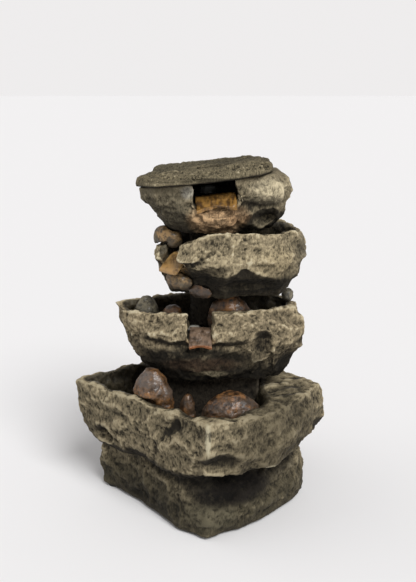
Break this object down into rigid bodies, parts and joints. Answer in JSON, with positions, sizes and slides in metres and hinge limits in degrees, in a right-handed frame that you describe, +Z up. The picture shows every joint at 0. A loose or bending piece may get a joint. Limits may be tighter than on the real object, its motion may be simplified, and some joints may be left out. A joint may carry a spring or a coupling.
{
  "type": "tabletop water fountain",
  "caption": "Rock-look tabletop fountain: stacked bowls spill over sloped lips into a basin that hides a pump, under a loose tilted slab.",
  "frame": {"origin": "on the ground under the middle of the basin", "axes": "+Z up, -Y towards the basin's front corner and the spill lips, +Y towards the flat rear with the cord grommet"},
  "size_m": [0.2139, 0.184, 0.2826],
  "materials": {
    "cast_rock": "matt stone texture, hand washed and dry brushed",
    "stained_lip": "ochre stain, wet",
    "brown_stone": "wet, semi-gloss",
    "tan_stone": "damp, satin",
    "grey_stone": "wet, semi-gloss",
    "pump_plastic": "moulded black",
    "intake_plastic": "moulded black",
    "dial_plastic": "moulded grey",
    "potting": "cast epoxy over the coil",
    "shaft_ceramic": "ground",
    "bush_rubber": "moulded",
    "magnet_ferrite": "sintered dark grey",
    "impeller_plastic": "moulded white",
    "soft_rubber": "soft black",
    "clear_vinyl": "clear flexible tube",
    "light_plastic": "moulded black",
    "light_board": "green lacquer",
    "light_lens": "clear, warm white",
    "lead_jacket": "black jacket",
    "splitter_plastic": "moulded black"
  },
  "bodies": {
    "fountain": {"basin": "cast_rock", "pedestal": "cast_rock", "lower_bowl": "cast_rock", "middle_bowl": "cast_rock", "upper_bowl": "cast_rock", "lower_neck": "cast_rock", "middle_neck": "cast_rock", "upper_collar": "cast_rock", "lower_spill_lip": "stained_lip", "middle_spill_lip": "stained_lip", "upper_spill_lip": "stained_lip", "basin_stone_left": "brown_stone", "basin_stone_small": "brown_stone", "basin_stone_right": "brown_stone", "perch_stone_centre": "brown_stone", "perch_stone_flat": "brown_stone", "tuck_stone_high": "brown_stone", "tuck_stone_low": "brown_stone", "tan_stone": "tan_stone", "perch_stone_grey": "grey_stone", "perch_stone_end": "grey_stone", "pump_housing": "pump_plastic", "pump_volute": "pump_plastic", "pump_end_cap": "pump_plastic", "pump_stator": "potting", "rotor_shaft": "shaft_ceramic", "front_bush": "bush_rubber", "rear_bush": "bush_rubber", "foot_pads": "soft_rubber", "pump_feet": "soft_rubber", "cord_grommet": "soft_rubber", "pump_gland": "soft_rubber", "riser_tube": "clear_vinyl", "upper_light_housing": "light_plastic", "middle_light_housing": "light_plastic", "lower_light_housing": "light_plastic", "upper_light_board": "light_board", "middle_light_board": "light_board", "lower_light_board": "light_board", "upper_light_lens": "light_lens", "middle_light_lens": "light_lens", "lower_light_lens": "light_lens", "upper_light_lead": "lead_jacket", "middle_light_lead": "lead_jacket", "lower_light_lead": "lead_jacket", "pump_lead": "lead_jacket", "lead_splitter": "splitter_plastic"},
    "cap": {"cap_slab": "cast_rock"},
    "panel": {"rear_panel": "cast_rock"},
    "rotor": {"impeller": "impeller_plastic", "rotor_magnet": "magnet_ferrite"},
    "strainer": {"intake_strainer": "intake_plastic"},
    "dial": {"flow_dial": "dial_plastic"}
  },
  "joints": [
    {"name": "cap_lift", "type": "slide", "parent": "fountain", "child": "cap", "axis": [0, 0, 1], "range_m": [0, 0.04]},
    {"name": "panel_slide", "type": "slide", "parent": "fountain", "child": "panel", "axis": [0, 0, 1], "range_m": [0, 0.05]},
    {"name": "impeller_spin", "type": "hinge", "parent": "fountain", "child": "rotor", "pos_m": [0.014, 0.012, 0.042], "axis": [1, 0, 0], "continuous": true},
    {"name": "strainer_pull", "type": "slide", "parent": "fountain", "child": "strainer", "axis": [-1, 0, 0], "range_m": [0, 0.01]},
    {"name": "dial_turn", "type": "hinge", "parent": "strainer", "child": "dial", "pos_m": [-0.013, 0.012, 0.042], "axis": [1, 0, 0], "range_deg": [0, 90]}
  ]
}
